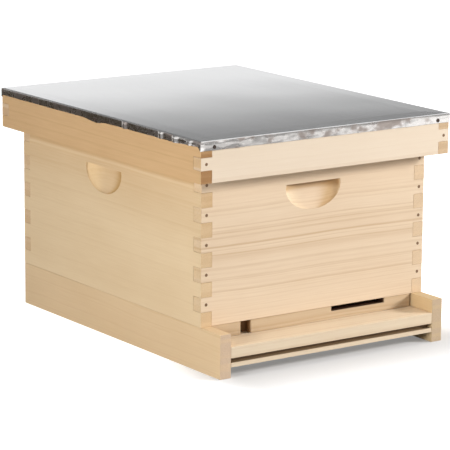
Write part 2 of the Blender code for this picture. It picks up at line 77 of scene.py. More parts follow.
class Shader:
    """Writes a material's node tree as formulas: each call adds a node and returns its output."""

    def __init__(self, name):
        self.material = bpy.data.materials.new(name)
        self.material.use_nodes = True
        self.nodes = self.material.node_tree.nodes
        self.links = self.material.node_tree.links
        self.bsdf = self.nodes["Principled BSDF"]

    def feed(self, socket, value):
        if isinstance(value, bpy.types.NodeSocket):
            self.links.new(value, socket)
        else:
            socket.default_value = value

    def node(self, kind, inputs, out=0, **settings):
        made = self.nodes.new(kind)
        for name, value in settings.items():
            setattr(made, name, value)
        for slot, value in inputs.items():
            self.feed(made.inputs[slot], value)
        return made.outputs[out]

    def math(self, operation, a, b=0.0, c=0.0):
        return self.node("ShaderNodeMath", {0: a, 1: b, 2: c}, operation=operation)

    def add(self, a, b):
        return self.math("ADD", a, b)

    def mul(self, a, b):
        return self.math("MULTIPLY", a, b)

    def total(self, *values):
        result = values[0]
        for value in values[1:]:
            result = self.add(result, value)
        return result

    def length(self, a, b):
        return self.math("SQRT", self.add(self.mul(a, a), self.mul(b, b)))

    def step(self, value, low, high, to_low=0.0, to_high=1.0):
        """Smoothly goes from to_low to to_high as value goes from low to high."""
        inputs = {0: value, 1: low, 2: high, 3: to_low, 4: to_high}
        return self.node("ShaderNodeMapRange", inputs, interpolation_type="SMOOTHSTEP")

    def mix(self, factor, a, b, blend="MIX"):
        mixed = self.nodes.new("ShaderNodeMix")
        mixed.data_type = "RGBA"
        mixed.blend_type = blend
        for slot, value in ((0, factor), (6, a), (7, b)):
            if isinstance(value, tuple):
                value = (*value[:3], 1.0)
            self.feed(mixed.inputs[slot], value)
        return mixed.outputs[2]

    def tint(self, factor, colour, tint):
        return self.mix(factor, colour, self.mix(1.0, colour, tint, "MULTIPLY"))

    def vector(self, x, y, z):
        return self.node("ShaderNodeCombineXYZ", {0: x, 1: y, 2: z})

    def axes(self, output):
        """Object-space X, Y and Z of a Texture Coordinate output."""
        source = self.nodes.new("ShaderNodeTexCoord").outputs[output]
        parts = self.nodes.new("ShaderNodeSeparateXYZ")
        self.links.new(source, parts.inputs[0])
        return list(parts.outputs)

    def noise(self, vector, detail=2.0, roughness=0.5):
        inputs = {"Vector": vector, "Scale": 1.0, "Detail": detail, "Roughness": roughness}
        return self.node("ShaderNodeTexNoise", inputs, noise_dimensions="3D")

    def noise_along(self, value, scale, seed):
        inputs = {"W": self.math("MULTIPLY_ADD", value, scale, seed), "Scale": 1.0, "Detail": 1.0}
        return self.node("ShaderNodeTexNoise", inputs, noise_dimensions="1D")

    def finish(self, colour, roughness, height=None, depth=0.0, strength=1.0):
        self.feed(self.bsdf.inputs["Base Color"], colour)
        self.feed(self.bsdf.inputs["Roughness"], roughness)
        if height is not None:
            inputs = {"Height": height, "Distance": depth, "Strength": strength}
            self.links.new(self.node("ShaderNodeBump", inputs), self.bsdf.inputs["Normal"])
        return self.material


PALE = linear(236, 212, 180)
HONEY = linear(208, 170, 126)
TAN = linear(222, 190, 148)
AMBER = linear(186, 144, 96)
KNOT = linear(158, 112, 70)
PORE = linear(120, 86, 54)
SHARP = 0.2 * MM  # over which a hollow's painted shade ends at its sides
HOLLOW_SHADE_DEPTH = 4 * MM  # behind a hollow's mouth, from where its painted shade is full


def bent_round_knots(s, u, v, knots):
    """The place across the board, bent round its knots as grain is, and the distance from each in radii."""
    across = v
    reaches = []
    for along, place, radius in knots:
        du = s.mul(s.add(u, -along * MM), 1 / (1.7 * radius * MM))
        dv = s.mul(s.add(v, -place * MM), 1 / (radius * MM))
        reach = s.length(du, dv)
        push = s.math("EXPONENT", s.mul(s.mul(reach, reach), -0.16))
        across = s.add(across, s.mul(s.mul(s.add(v, -place * MM), push), -0.62))
        reaches.append(reach)
    return across, reaches


def late_wood(s, across, w, warp, ring, pith, seed):
    """How dark the growth rings are: each fades in slowly and ends sharply, and each is darker or paler."""
    rv = s.total(across, -pith[0] * MM, warp)
    rw = s.total(w, -pith[1] * MM, s.mul(warp, 0.4))
    radius = s.length(rv, rw)
    uneven = s.math("MULTIPLY_ADD", s.noise_along(radius, 60.0, seed), 3.0 * ring * MM, -1.5 * ring * MM)
    phase = s.mul(s.add(radius, uneven), 1 / (ring * MM))
    part = s.math("FRACT", phase)
    late = s.mul(s.step(part, 0.3, 0.88), s.step(part, 0.9, 1.0, 1.0, 0.0))
    count = s.math("MULTIPLY_ADD", s.math("FLOOR", phase), 1.37, seed)
    each = s.node("ShaderNodeTexWhiteNoise", {"W": count}, noise_dimensions="1D")
    return s.mul(late, s.math("MULTIPLY_ADD", s.mul(each, each), 0.85, 0.15))


def inside_hollow(s, here, low, high, fade):
    """1 in a box that is open at its low Y side, 0 outside. fade is how softly its lower side starts."""
    inside = s.step(here[Y], low[Y], low[Y] + HOLLOW_SHADE_DEPTH)
    for axis, soft in ((X, SHARP), (Z, fade)):
        inside = s.mul(inside, s.step(here[axis], low[axis] - SHARP, low[axis] - SHARP + soft))
        inside = s.mul(inside, s.step(here[axis], high[axis], high[axis] + SHARP, 1.0, 0.0))
    return inside


def wood(
    name, node, grain, face, light=PALE, dark=HONEY, ring=5.0, pith=(90.0, -110.0), seed=0.0,
    contrast=0.45, knots=(), end_tint=(0.87, 0.85, 0.84), blotch=0.3, bands=(), wander=7.0, hollows=(),
    shaded_side=0, shade_tint=(0.84, 0.74, 0.58),
):
    """Solid pine: growth rings round a pith line behind the board, cut by its faces and its ends.

    grain and face are the axes along the grain and through the board. ring is the rings' spacing, wander how
    far they drift along the board, pith the pith line's place across and behind the board, and each knot its
    (place along, place across, radius), all in mm from the board's middle. Each of the bands is a streak,
    darker where its strength is above 0: (place across, half width, strength). contrast is how much darker
    the rings are, blotch how uneven the wood is, and end_tint tints its end grain.
    Each of the hollows is a box that is open at its low Y side, (low corner, high corner, tint, fade) in
    metres: the wood inside it is darkened by the tint, which is painted shade. The last two arguments are
    the way along the grain, 1 or -1, that a scooped handhold's shaded wall faces, and the shade painted on
    that wall; the wall facing the other way gets a painted highlight.
    """
    s = Shader(name)
    here = s.axes("Object")
    centre = middle(node)
    u, v, w = (s.add(here[axis], -centre[axis]) for axis in (grain, 3 - grain - face, face))
    slow = s.noise(s.vector(s.math("MULTIPLY_ADD", u, 2.4, seed), s.mul(v, 4.0), s.mul(w, 4.0)), 1.0)
    quick = s.noise(s.vector(s.math("MULTIPLY_ADD", u, 9.0, seed), s.mul(v, 30.0), s.mul(w, 30.0)))
    warp = s.add(
        s.math("MULTIPLY_ADD", slow, 2 * wander * MM, -wander * MM),
        s.math("MULTIPLY_ADD", quick, 0.3 * wander * MM, -0.15 * wander * MM),
    )
    across, reaches = bent_round_knots(s, u, v, knots)
    lean = s.axes("Normal")[grain]
    end = s.step(s.math("ABSOLUTE", lean), 0.55, 0.85)
    late = late_wood(s, across, w, warp, ring, pith, seed)
    late = s.mul(late, s.math("MULTIPLY_ADD", end, -0.7, 1.0))
    fibre = s.noise(s.vector(s.math("MULTIPLY_ADD", u, 22.0, seed), s.mul(v, 620.0), s.mul(w, 620.0)), 3.0)
    patch = s.noise(s.vector(s.math("MULTIPLY_ADD", u, 5.0, seed + 5.0), s.mul(v, 16.0), s.mul(w, 16.0)))
    tone = s.total(
        s.mul(late, contrast),
        s.math("MULTIPLY_ADD", fibre, 0.36, -0.06),
        s.math("MULTIPLY_ADD", patch, blotch, -0.5 * blotch),
    )
    for place, half, strength in bands:
        near = s.math("ABSOLUTE", s.total(across, s.mul(warp, 0.5), -place * MM))
        tone = s.add(tone, s.step(near, 0.15 * half * MM, half * MM, strength, 0.0))
    colour = s.mix(s.math("MINIMUM", s.math("MAXIMUM", tone, 0.0), 1.2), light, dark)
    for reach in reaches:
        colour = s.mix(s.step(reach, 0.9, 3.0, 0.3, 0.0), colour, AMBER)
        rings = s.math("MULTIPLY_ADD", s.math("SINE", s.mul(reach, 16.0)), 0.16, 0.7)
        colour = s.mix(s.mul(s.step(reach, 0.75, 1.1, 1.0, 0.0), rings), colour, KNOT)
    pores = s.noise(s.vector(s.mul(u, 40.0), s.mul(v, 900.0), s.mul(w, 900.0)), 2.0)
    soaked = s.step(s.noise_along(here[Z], 70.0, seed), 0.35, 0.65, 0.6, 1.3)
    end_colour = s.mix(soaked, colour, end_tint, "MULTIPLY")
    end_colour = s.mix(s.step(pores, 0.45, 0.75, 0.0, 0.22), end_colour, PORE)
    colour = s.mix(end, colour, end_colour)
    # Painted shade on a scooped handhold's wall that faces one way along the grain, and a painted highlight
    # on the wall that faces the other way.
    if shaded_side:
        toward_shade = s.mul(lean, shaded_side)
        painted_shade = s.mul(s.step(toward_shade, 0.04, 0.26), s.step(toward_shade, 0.6, 0.8, 1.0, 0.0))
        painted_light = s.mul(s.step(toward_shade, -0.26, -0.04, 1.0, 0.0), s.step(toward_shade, -0.8, -0.6))
        colour = s.tint(painted_shade, colour, shade_tint)
        colour = s.tint(painted_light, colour, (1.1, 1.12, 1.1))
    # Painted shade inside the hollows, growing with depth behind each mouth.
    for low, high, hollow_shade, fade in hollows:
        colour = s.tint(inside_hollow(s, here, low, high, fade), colour, hollow_shade)
    height = s.total(s.mul(late, 0.4), s.mul(fibre, 0.8), s.mul(s.mul(pores, end), 1.5))
    rough = s.math("MULTIPLY_ADD", fibre, 0.2, 0.55)
    s.bsdf.inputs["Specular IOR Level"].default_value = 0.3
    return s.finish(colour, rough, height, 0.2 * MM, 0.4)


def set_material(node, material):
    for slot in NODES[node].material_slots:
        slot.material = material


# ------------------------------------------------------- eased edges on CAD nodes


def node_group(name):
    group = bpy.data.node_groups.new(name, "GeometryNodeTree")
    group.interface.new_socket("Geometry", in_out="INPUT", socket_type="NodeSocketGeometry")
    group.interface.new_socket("Geometry", in_out="OUTPUT", socket_type="NodeSocketGeometry")
    return group, group.nodes.new("NodeGroupInput"), group.nodes.new("NodeGroupOutput")


def weld_group():
    """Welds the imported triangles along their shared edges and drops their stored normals."""
    group, start, end = node_group("weld")
    forget = group.nodes.new("GeometryNodeRemoveAttribute")
    forget.inputs["Name"].default_value = "custom_normal"
    merge = group.nodes.new("GeometryNodeMergeByDistance")
    merge.inputs["Distance"].default_value = 0.001 * MM
    group.links.new(start.outputs[0], forget.inputs[0])
    group.links.new(forget.outputs[0], merge.inputs[0])
    group.links.new(merge.outputs[0], end.inputs[0])
    return group


def smooth_group(angle):
    """Shades smooth, except along edges sharper than the angle."""
    group, start, end = node_group("smooth_by_angle")
    faces = group.nodes.new("GeometryNodeSetShadeSmooth")
    edges = group.nodes.new("GeometryNodeSetShadeSmooth")
    edges.domain = "EDGE"
    bend = group.nodes.new("GeometryNodeInputMeshEdgeAngle")
    test = group.nodes.new("FunctionNodeCompare")
    test.operation = "LESS_EQUAL"
    test.inputs["B"].default_value = angle
    group.links.new(start.outputs[0], faces.inputs[0])
    group.links.new(faces.outputs[0], edges.inputs[0])
    group.links.new(bend.outputs["Unsigned Angle"], test.inputs["A"])
    group.links.new(test.outputs[0], edges.inputs["Shade Smooth"])
    group.links.new(edges.outputs[0], end.inputs[0])
    return group


WELD = weld_group()
SMOOTH = smooth_group(math.radians(28))


def ease(obj, width=0.45 * MM, segments=2):
    """Rounds a CAD node's sharp edges a little, as sanding does, without touching its mesh."""
    obj.modifiers.new("weld", "NODES").node_group = WELD
    flat = obj.modifiers.new("flat", "DECIMATE")
    flat.decimate_type = "DISSOLVE"
    flat.angle_limit = math.radians(0.5)
    bevel = obj.modifiers.new("ease", "BEVEL")
    bevel.width = width
    bevel.segments = segments
    bevel.limit_method = "ANGLE"
    bevel.angle_limit = math.radians(40)
    bevel.use_clamp_overlap = True
    obj.modifiers.new("smooth", "NODES").node_group = SMOOTH
    level = obj.modifiers.new("level", "WEIGHTED_NORMAL")
    level.keep_sharp = True


# ---------------------------------------------------------------- new pieces


def piece(name, bm, material, body):
    mesh = bpy.data.meshes.new(name)
    bm.to_mesh(mesh)
    bm.free()
    obj = bpy.data.objects.new(name, mesh)
    bpy.context.scene.collection.objects.link(obj)
    mesh.materials.append(material)
    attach(obj, body)
    return obj


def lathe(bm, profile, place, outward, sides):
    """Turns a profile of (radius, height) points about an axis that points outward from place."""
    turn = Vector((0, 0, 1)).rotation_difference(Vector(outward)).to_matrix()
    rings = []
    for radius, height in profile:
        count = 1 if radius == 0 else sides
        ring = []
        for i in range(count):
            angle = math.tau * i / sides
            point = Vector((radius * math.cos(angle), radius * math.sin(angle), height))
            ring.append(bm.verts.new(Vector(place) + turn @ point))
        rings.append(ring)
    for low, high in zip(rings[:-1], rings[1:]):
        for i in range(sides):
            j = (i + 1) % sides
            corners = [low[i % len(low)], low[j % len(low)], high[j % len(high)], high[i % len(high)]]
            corners = list(dict.fromkeys(corners))
            if len(corners) > 2:
                face = bm.faces.new(corners)
                face.smooth = True


# A slightly dished head: (part of its radius, mm proud of the wood)
NAIL_PROFILE = ((0.0, 0.12), (0.55, 0.16), (0.82, 0.2), (0.95, 0.14), (1.0, 0.0), (1.0, -0.5), (0.0, -0.5))
NAIL_SIDES = 14


def nail_heads(name, body, places, radius, material):
    """Nail heads driven almost flush, each at a (point on the wood, outward direction)."""
    bm = bmesh.new()
    profile = [(part * radius, height * MM) for part, height in NAIL_PROFILE]
    for point, outward in places:
        lathe(bm, profile, point, outward, NAIL_SIDES)
    bmesh.ops.recalc_face_normals(bm, faces=bm.faces)
    return piece(name, bm, material, body)


# ---------------------------------------------------------------- camera and studio


VIEW_AZIMUTH, VIEW_ELEVATION, VIEW_ROLL = -34.81, 12.25, 0.43  # degrees
VIEW_LENS = 207.51  # mm, on a sensor 36 mm wide
VIEW_PLACE = (-2.2711, -3.2825, 1.0171)  # from the floor below the middle of the hive body


def make_camera():
    """The photograph's view: a long lens from the hive's front left, a little above its lid."""
    azimuth, elevation, roll = (math.radians(a) for a in (VIEW_AZIMUTH, VIEW_ELEVATION, VIEW_ROLL))
    back = Vector((
        math.sin(azimuth) * math.cos(elevation),
        -math.cos(azimuth) * math.cos(elevation),
        math.sin(elevation),
    ))
    right = Vector((math.cos(azimuth), math.sin(azimuth), 0))
    up = back.cross(right)
    rolled_right = math.cos(roll) * right + math.sin(roll) * up
    rolled_up = -math.sin(roll) * right + math.cos(roll) * up
    data = bpy.data.cameras.new("camera")
    data.sensor_width = 36.0
    data.lens = VIEW_LENS
    camera = bpy.data.objects.new("camera", data)
    bpy.context.scene.collection.objects.link(camera)
    body_centre = (middle("body_front")[Y] + middle("body_back")[Y]) / 2
    turn = Matrix((rolled_right, rolled_up, back)).transposed().to_4x4()
    place = (VIEW_PLACE[X], VIEW_PLACE[Y] + body_centre, VIEW_PLACE[Z])
    camera.matrix_world = Matrix.Translation(place) @ turn
    bpy.context.scene.camera = camera


def stage_plane(name, centre, normal, size, material):
    bm = bmesh.new()
    turn = Vector((0, 0, 1)).rotation_difference(Vector(normal)).to_matrix().to_4x4()
    place = Matrix.Translation(centre) @ turn @ Matrix.Diagonal((size[0], size[1], 1.0, 1.0))
    bmesh.ops.create_grid(bm, x_segments=1, y_segments=1, size=0.5, matrix=place)
    mesh = bpy.data.meshes.new(name)
    bm.to_mesh(mesh)
    bm.free()
    mesh.materials.append(material)
    obj = bpy.data.objects.new(name, mesh)
    bpy.context.scene.collection.objects.link(obj)
    return obj


def glow(name, bright, dark, low=0.0, high=1.0, slope=0.0, colour=(1.0, 1.0, 1.0)):
    """An emission for a card that only reflections see.

    Its strength goes from bright, up to the height low, to dark, from the height high. slope is how much both
    heights rise for each metre along X.
    """
    material = bpy.data.materials.new(name)
    material.use_nodes = True
    tree = material.node_tree
    tree.nodes.clear()
    light = tree.nodes.new("ShaderNodeEmission")
    light.inputs["Color"].default_value = (*colour, 1.0)
    out = tree.nodes.new("ShaderNodeOutputMaterial")
    place = tree.nodes.new("ShaderNodeTexCoord")
    parts = tree.nodes.new("ShaderNodeSeparateXYZ")
    rise = tree.nodes.new("ShaderNodeMath")
    rise.operation = "MULTIPLY_ADD"
    rise.inputs[1].default_value = -slope
    ramp = tree.nodes.new("ShaderNodeMapRange")
    ramp.interpolation_type = "SMOOTHSTEP"
    for slot, value in ((1, low), (2, high), (3, bright), (4, dark)):
        ramp.inputs[slot].default_value = value
    tree.links.new(place.outputs["Object"], parts.inputs[0])
    tree.links.new(parts.outputs[0], rise.inputs[0])
    tree.links.new(parts.outputs[2], rise.inputs[2])
    tree.links.new(rise.outputs[0], ramp.inputs[0])
    tree.links.new(ramp.outputs[0], light.inputs["Strength"])
    tree.links.new(light.outputs[0], out.inputs[0])
    return material


def only_reflected(obj):
    obj.visible_camera = False
    obj.visible_diffuse = False
    obj.visible_shadow = False
    obj.visible_transmission = False
    obj.visible_volume_scatter = False


def area_light(name, place, aim, size, power, colour=(1.0, 1.0, 1.0)):
    data = bpy.data.lights.new(name, "AREA")
    data.shape = "RECTANGLE"
    data.size, data.size_y = size
    data.energy = power
    data.color = colour
    light = bpy.data.objects.new(name, data)
    bpy.context.scene.collection.objects.link(light)
    light.location = place
    light.rotation_mode = "QUATERNION"
    light.rotation_quaternion = (Vector(aim) - Vector(place)).to_track_quat("-Z", "Y")
    light.visible_glossy = False


SEEN_WHITE = 1.05  # just over full white


def bright_world(strength):
    """White behind the hive and in its metal's reflections, and a weaker white that lights it."""
    world = bpy.data.worlds.new("studio")
    world.use_nodes = True
    tree = world.node_tree
    sky = tree.nodes["Background"]
    path = tree.nodes.new("ShaderNodeLightPath")
    seen = tree.nodes.new("ShaderNodeMath")
    seen.operation = "MAXIMUM"
    level = tree.nodes.new("ShaderNodeMapRange")
    level.inputs["To Min"].default_value = strength
    level.inputs["To Max"].default_value = SEEN_WHITE
    tree.links.new(path.outputs["Is Camera Ray"], seen.inputs[0])
    tree.links.new(path.outputs["Is Glossy Ray"], seen.inputs[1])
    tree.links.new(seen.outputs[0], level.inputs["Value"])
    tree.links.new(level.outputs[0], sky.inputs["Strength"])
    sky.inputs["Color"].default_value = (1.0, 1.0, 1.0, 1.0)
    return world


SHADE_MIDDLE = 30 * MM  # of the painted shadow on the floor before the landing, to the right of the hive's middle
SHADE_REACH = 240 * MM  # from the landing, to where that painted shadow has faded out
SHADE_LEVEL = 0.16  # of the paper's glow, where the painted shadow is darkest


def studio_paper():
    """Paper that glows white, except in a soft shadow painted before the landing, and lights the hive a
    little.
    """
    s = Shader("studio_paper")
    x, y = s.axes("Object")[:2]
    path = s.nodes.new("ShaderNodeLightPath").outputs
    low, high = CAD_BOX
    aside = s.math("ABSOLUTE", s.add(x, -SHADE_MIDDLE))
    aside = s.math("MAXIMUM", s.add(aside, SHADE_MIDDLE - high[X]), 0.0)
    away = s.length(s.mul(aside, 2.0), s.add(y, -low[Y]))
    # The glow dims before the landing: a painted shadow on top of the real one.
    lit = s.step(away, 0.0, SHADE_REACH, SHADE_LEVEL, 1.0)
    s.bsdf.inputs["Emission Color"].default_value = (1.0, 1.0, 1.0, 1.0)
    s.feed(s.bsdf.inputs["Emission Strength"], s.mul(path["Is Camera Ray"], lit))
    s.bsdf.inputs["Specular IOR Level"].default_value = 0.0
    colour = s.mix(path["Is Diffuse Ray"], (0.6, 0.6, 0.6), (0.42, 0.42, 0.42))
    return s.finish(colour, 0.9)


def make_studio():
    """Paper, three lamps, and three cards that the metal reflects.

    The back card makes the lid's top go from light at its rear to grey at its front. The dark card is for the
    left flange, and the silver one for the front flange.
    """
    scene = bpy.context.scene
    scene.view_settings.view_transform = "Standard"
    scene.world = bright_world(strength=0.2)
    stage_plane("floor", (0, 0, 0), (0, 0, 1), (24, 24), studio_paper())
    area_light("key", (2.9, -2.1, 1.38), (0, -0.1, 0.15), (0.7, 0.7), 146.0, (1.0, 0.99, 0.99))
    area_light("fill", (-2.3, -0.9, 0.6), (-0.1, 0, 0.15), (0.5, 0.5), 35.5, (1.0, 0.995, 0.985))
    area_light("top", (0.2, 0.0, 2.8), (0, 0, 0.2), (1.6, 1.6), 33.0)
    gradient = glow("card_gradient", bright=0.97, dark=0.24, low=0.557, high=0.637, slope=0.015)
    brown = glow("card_dark", bright=0.035, dark=0.035, colour=(1.0, 0.65, 0.3))
    silver = glow("card_silver", bright=1.45, dark=0.3, low=-0.72, high=-0.35, slope=0.8)
    for name, centre, normal, size, material in (
        ("back_card", (0.85, 1.2, 1.3), (0, -1, 0), (4.2, 2.6), gradient),
        ("left_card", (-0.85, 0.79, 0.0), (0.57, -0.82, 0), (1.02, 0.9), brown),
        ("front_card", (0.95, -1.35, 0.4), (-0.56, 0.83, 0), (2.2, 0.8), silver),
    ):
        only_reflected(stage_plane(name, centre, normal, size, material))


# ---------------------------------------------------------------- the wooden parts


INCH = 25.4 * MM
GROOVE_RISE = 0.25 * INCH  # of the groove in the landing's edge, above the board's underside
GROOVE_HEIGHT = 0.28 * INCH
GROOVE_DEPTH = 0.375 * INCH
WIDE_NOTCH = 4.0 * INCH
WIDE_NOTCH_DEPTH = 0.3125 * INCH
WIDE_NOTCH_X = 3.3125 * INCH  # from the middle of the hive
NARROW_NOTCH = 0.75 * INCH
NARROW_NOTCH_X = -4.90625 * INCH
NARROW_NOTCH_WALL = 4 * MM  # of unshaded wood behind its painted shade
HANDHOLD_WIDTH = 4.0 * INCH
HANDHOLD_DROP = 1.90625 * INCH  # from the top of the body to the ledge above a handhold
HANDHOLD_DEPTH = 0.5 * INCH
FRONT_HOLD_X = -0.1875 * INCH
LEDGE_SHADE = 15 * MM  # how far down from the front handhold's ledge its painted shade reaches
LEDGE_FADE = 9 * MM  # over which that painted shade ends at its lower side


def dress_body():
    low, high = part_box("body_front")
    ledge = high[Z] - HANDHOLD_DROP
    # Painted shade under the front handhold's ledge.
    under_ledge = (
        (FRONT_HOLD_X - HANDHOLD_WIDTH / 2, low[Y], ledge - LEDGE_SHADE),
        (FRONT_HOLD_X + HANDHOLD_WIDTH / 2, low[Y] + HANDHOLD_DEPTH, ledge + SHARP),
        (0.68, 0.58, 0.46), LEDGE_FADE,
    )
    # Each board's handhold gets a painted shade on its wall that faces one way along the grain and a painted
    # highlight on the other.
    set_material("body_front", wood(
        "front_pine", "body_front", X, Y, linear(232, 210, 182), linear(199, 165, 128), ring=4.6,
        pith=(150.0, 95.0), seed=3.1, contrast=0.34, end_tint=(0.95, 0.89, 0.76), shaded_side=-1,
        hollows=(under_ledge,),
        bands=(
            (15.0, 4.0, 0.22), (8.0, 2.5, 0.32), (-5.0, 2.5, 0.34), (-21.0, 9.0, 0.26), (-38.0, 3.0, 0.2),
            (-54.0, 3.0, 0.16), (-72.0, 3.0, 0.16),
        ),
    ))
    set_material("body_left", wood(
        "left_pine", "body_left", Y, X, linear(233, 208, 170), linear(208, 174, 129), ring=6.0,
        pith=(-170.0, 120.0), seed=7.7, contrast=0.14, blotch=0.5, end_tint=(0.86, 0.81, 0.77),
        # The two narrow bands are a painted shadow under the cover's rim and a painted light line just below
        # it.
        bands=((90.0, 110.0, 0.4), (91.0, 6.0, 0.5), (83.5, 3.0, -0.3)), shaded_side=1, shade_tint=(0.78, 0.65, 0.42),
    ))
    set_material("body_right", wood(
        "right_pine", "body_right", Y, X, linear(234, 208, 174), linear(202, 162, 116), ring=5.0,
        pith=(125.0, -90.0), seed=12.4, contrast=0.4, knots=((120.0, 40.0, 7.0),),
        end_tint=(0.92, 0.92, 0.93), shaded_side=-1,
    ))
    set_material("body_back", wood(
        "back_pine", "body_back", X, Y, linear(236, 210, 176), linear(204, 164, 118), ring=5.5,
        pith=(-110.0, -100.0), seed=17.9, contrast=0.4, knots=((-90.0, -60.0, 5.0),),
        end_tint=(0.86, 0.8, 0.72), shaded_side=1,
    ))


def dress_bottom_board():
    for node, seed, pith, light, dark in (
        ("rail_left", 21.3, (62.0, 75.0), linear(230, 202, 163), linear(207, 170, 122)),
        ("rail_right", 24.6, (-58.0, -60.0), linear(214, 189, 149), linear(191, 158, 110)),
    ):
        set_material(node, wood(
            f"{node}_pine", node, Y, X, light, dark, ring=4.5, pith=pith,
            seed=seed, contrast=0.2, end_tint=(0.87, 0.88, 1.02), blotch=0.4,
        ))
    low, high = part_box("floor_board_1")
    # Painted shade in the groove along the landing's front edge.
    groove = (
        (low[X], low[Y], low[Z] + GROOVE_RISE),
        (high[X], low[Y] + GROOVE_DEPTH, low[Z] + GROOVE_RISE + GROOVE_HEIGHT),
        (0.34, 0.27, 0.2), SHARP,
    )
    for index in range(1, 5):
        node = f"floor_board_{index}"
        set_material(node, wood(
            f"{node}_pine", node, X, Z, linear(231, 213, 186), linear(208, 178, 144), ring=5.0,
            pith=(55.0 - 9.0 * index, -90.0), seed=28.0 + 3.3 * index, contrast=0.3,
            hollows=(groove,) if index == 1 else (),
        ))
    for node, seed in (("rear_cleat_upper", 44.1), ("rear_cleat_lower", 47.2)):
        set_material(node, wood(f"{node}_pine", node, X, Y, TAN, AMBER, seed=seed))
    low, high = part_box("entrance_reducer")
    # Painted shade in the reducer's two notches, near black in the wide one.
    notches = [
        ((x - width / 2, low[Y], high[Z] - depth), (x + width / 2, high[Y] - behind, high[Z]), hollow_shade, SHARP)
        for x, width, depth, behind, hollow_shade in (
            (WIDE_NOTCH_X, WIDE_NOTCH, WIDE_NOTCH_DEPTH, 0.0, (0.1, 0.06, 0.05)),
            (NARROW_NOTCH_X, NARROW_NOTCH, high[Z] - low[Z], NARROW_NOTCH_WALL, (0.42, 0.32, 0.22)),
        )
    ]
    set_material("entrance_reducer", wood(
        "reducer_pine", "entrance_reducer", X, Y, linear(207, 184, 153), linear(180, 148, 112), ring=4.0,
        pith=(34.0, 50.0), seed=51.3, hollows=notches,
    ))


def dress_covers():
    for side, grain, face, light, dark, seed, end_tint in (
        ("front", X, Y, linear(235, 218, 196), linear(220, 196, 168), 55.2, (0.8, 0.65, 0.46)),
        ("back", X, Y, linear(240, 218, 188), linear(208, 170, 126), 58.7, (0.74, 0.62, 0.5)),
        ("left", Y, X, linear(215, 178, 132), linear(177, 135, 86), 61.9, (0.6, 0.5, 0.42)),
        ("right", Y, X, linear(236, 210, 174), linear(202, 160, 112), 64.8, (0.76, 0.72, 0.7)),
    ):
        node = f"cover_rim_{side}"
        set_material(node, wood(
            f"{node}_pine", node, grain, face, light, dark, ring=6.0, pith=(-80.0, 90.0), seed=seed,
            contrast=0.28, end_tint=end_tint,
        ))
    set_material("cover_panel", wood("cover_panel_ply", "cover_panel", Y, Z, TAN, AMBER, seed=68.0))
    for side, grain in (("front", X), ("back", X), ("left", Y), ("right", Y)):
        node = f"inner_rim_{side}"
        set_material(node, wood(f"{node}_pine", node, grain, Z, seed=70.0 + 3.1 * len(side)))
    set_material("inner_panel", hardboard())


def hardboard():
    """Pressed board: dark brown with a fine fibrous mottle."""
    s = Shader("hardboard")
    x, y, z = s.axes("Object")
    mottle = s.noise(s.vector(s.mul(x, 260.0), s.mul(y, 260.0), s.mul(z, 260.0)), 4.0, 0.7)
    cloud = s.noise(s.vector(s.mul(x, 9.0), s.mul(y, 9.0), z), 2.0)
    colour = s.mix(s.step(mottle, 0.3, 0.7), linear(112, 78, 50), linear(150, 110, 74))
    colour = s.mix(s.mul(cloud, 0.4), colour, linear(96, 64, 42))
    return s.finish(colour, s.math("MULTIPLY_ADD", mottle, 0.2, 0.45), mottle, 0.1 * MM, 0.4)


def dress_frames():
    for index in range(1, 11):
        prefix = f"frame_{index:02d}"
        vary = 3.7 * index
        set_material(f"{prefix}_top_bar", wood(
            f"{prefix}_top_pine", f"{prefix}_top_bar", Y, Z, PALE, HONEY, ring=5.0,
            pith=(8.0 * math.sin(vary), -30.0), seed=80.0 + vary,
        ))
        set_material(f"{prefix}_sides", wood(
            f"{prefix}_side_pine", f"{prefix}_sides", Z, Y, PALE, TAN, ring=6.0,
            pith=(6.0 * math.cos(vary), -260.0), seed=130.0 + vary,
        ))


def wax():
    s = Shader("wax")
    x, y, z = s.axes("Object")
    cloud = s.noise(s.vector(s.mul(x, 12.0), s.mul(y, 12.0), s.mul(z, 12.0)), 2.0)
    colour = s.mix(s.step(cloud, 0.3, 0.7), linear(230, 188, 104), linear(238, 204, 126))
    s.bsdf.inputs["Subsurface Weight"].default_value = 0.15
    s.bsdf.inputs["Subsurface Radius"].default_value = (0.004, 0.0025, 0.001)
    return s.finish(colour, 0.42)


def nail_metal(name, light, dark):
    s = Shader(name)
    x, y, z = s.axes("Object")
    speck = s.noise(s.vector(s.mul(x, 900.0), s.mul(y, 900.0), s.mul(z, 900.0)), 2.0)
    colour = s.mix(s.step(speck, 0.4, 0.65), light, dark)
    s.bsdf.inputs["Metallic"].default_value = 0.3
    return s.finish(colour, 0.55, speck, 0.05 * MM, 0.5)


FOLD_START, FOLD_END = 0.1 * MM, 1.6 * MM  # below the lid's top, where the sheet goes from bright to dull


def sheet_metal():
    """Bright rolled sheet with faint handling marks, duller and smudged where the flange was hammered."""
    s = Shader("bright_sheet")
    x, y, z = s.axes("Object")
    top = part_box("cover_metal")[1][Z]
    cloud = s.noise(s.vector(s.mul(x, 6.0), s.mul(y, 6.0), s.mul(z, 6.0)), 3.0)
    rolled = s.noise(s.vector(s.mul(x, 420.0), s.mul(y, 9.0), s.mul(z, 420.0)), 2.0)
    smudge = s.noise(s.vector(s.mul(x, 42.0), s.mul(y, 42.0), s.mul(z, 55.0)), 2.0)
    colour = s.mix(cloud, linear(228, 229, 231), linear(236, 236, 236))
    folded = s.step(z, top - FOLD_END, top - FOLD_START, 1.0, 0.0)
    stained = s.mul(s.step(smudge, 0.46, 0.62), folded)
    colour = s.mix(s.mul(folded, 0.5), colour, linear(226, 218, 210))
    colour = s.mix(s.mul(stained, 0.7), colour, linear(158, 140, 130))
    s.bsdf.inputs["Metallic"].default_value = 1.0
    rough = s.total(s.math("MULTIPLY_ADD", rolled, 0.06, 0.1), s.mul(folded, 0.1), s.mul(stained, 0.12))
    return s.finish(colour, rough, rolled, 0.004 * MM, 0.12)


# ---------------------------------------------------------------- the metal lid


